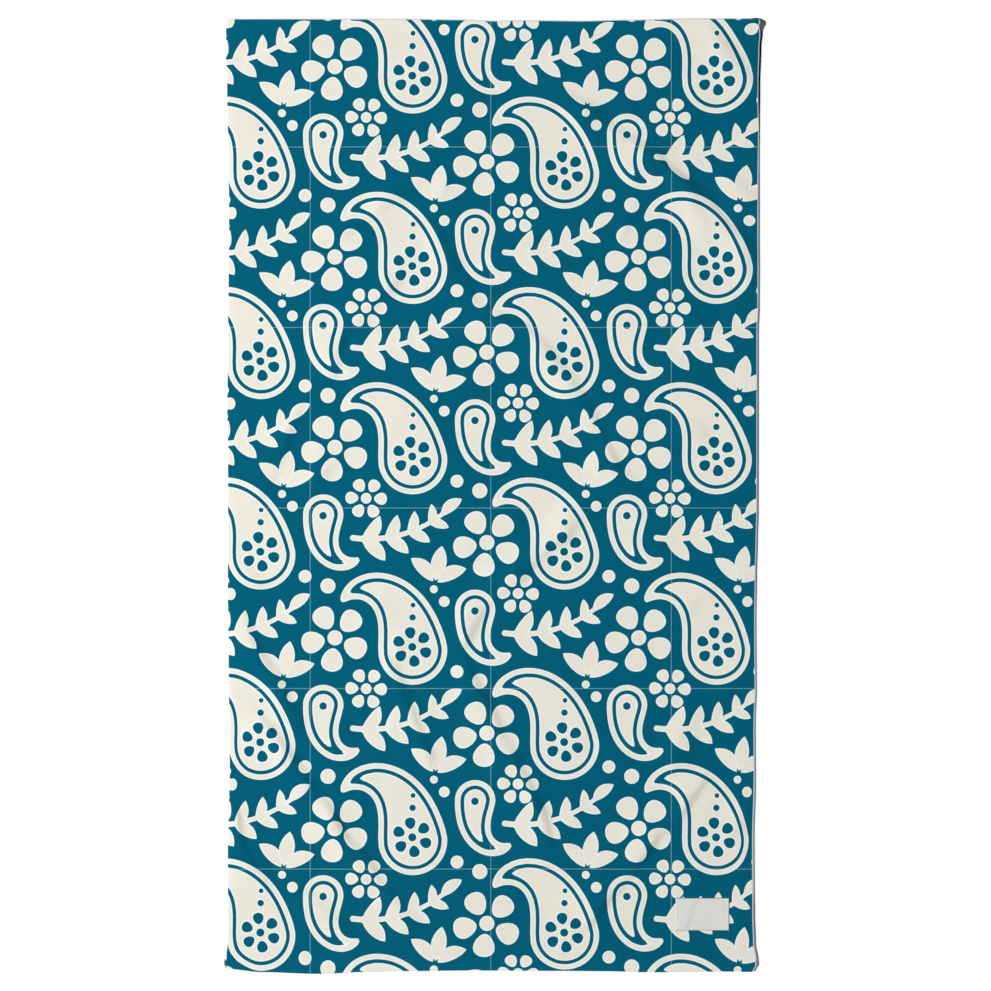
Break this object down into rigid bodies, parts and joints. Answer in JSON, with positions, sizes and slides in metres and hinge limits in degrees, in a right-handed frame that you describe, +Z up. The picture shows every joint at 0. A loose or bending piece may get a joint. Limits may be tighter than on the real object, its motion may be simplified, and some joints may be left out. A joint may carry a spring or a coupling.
{
  "type": "beach towel",
  "caption": "Rectangular terry beach towel lying flat and face up, with turned hems, soft diagonal creases and a small bare patch sewn near one corner.",
  "frame": {"origin": "on the surface that the towel lies on, under the middle of its box", "axes": "+X across the towel, +Y along it, away from the end with the patch, +Z up out of the printed face"},
  "size_m": [0.9853, 1.7374, 0.0091],
  "materials": {
    "printed_terry": "cotton terry with a sheared face, printed in cream on teal",
    "woven_patch": "pale grey woven tape, bare"
  },
  "bodies": {
    "root": {"towel": "printed_terry", "label": "woven_patch"}
  },
  "joints": []
}
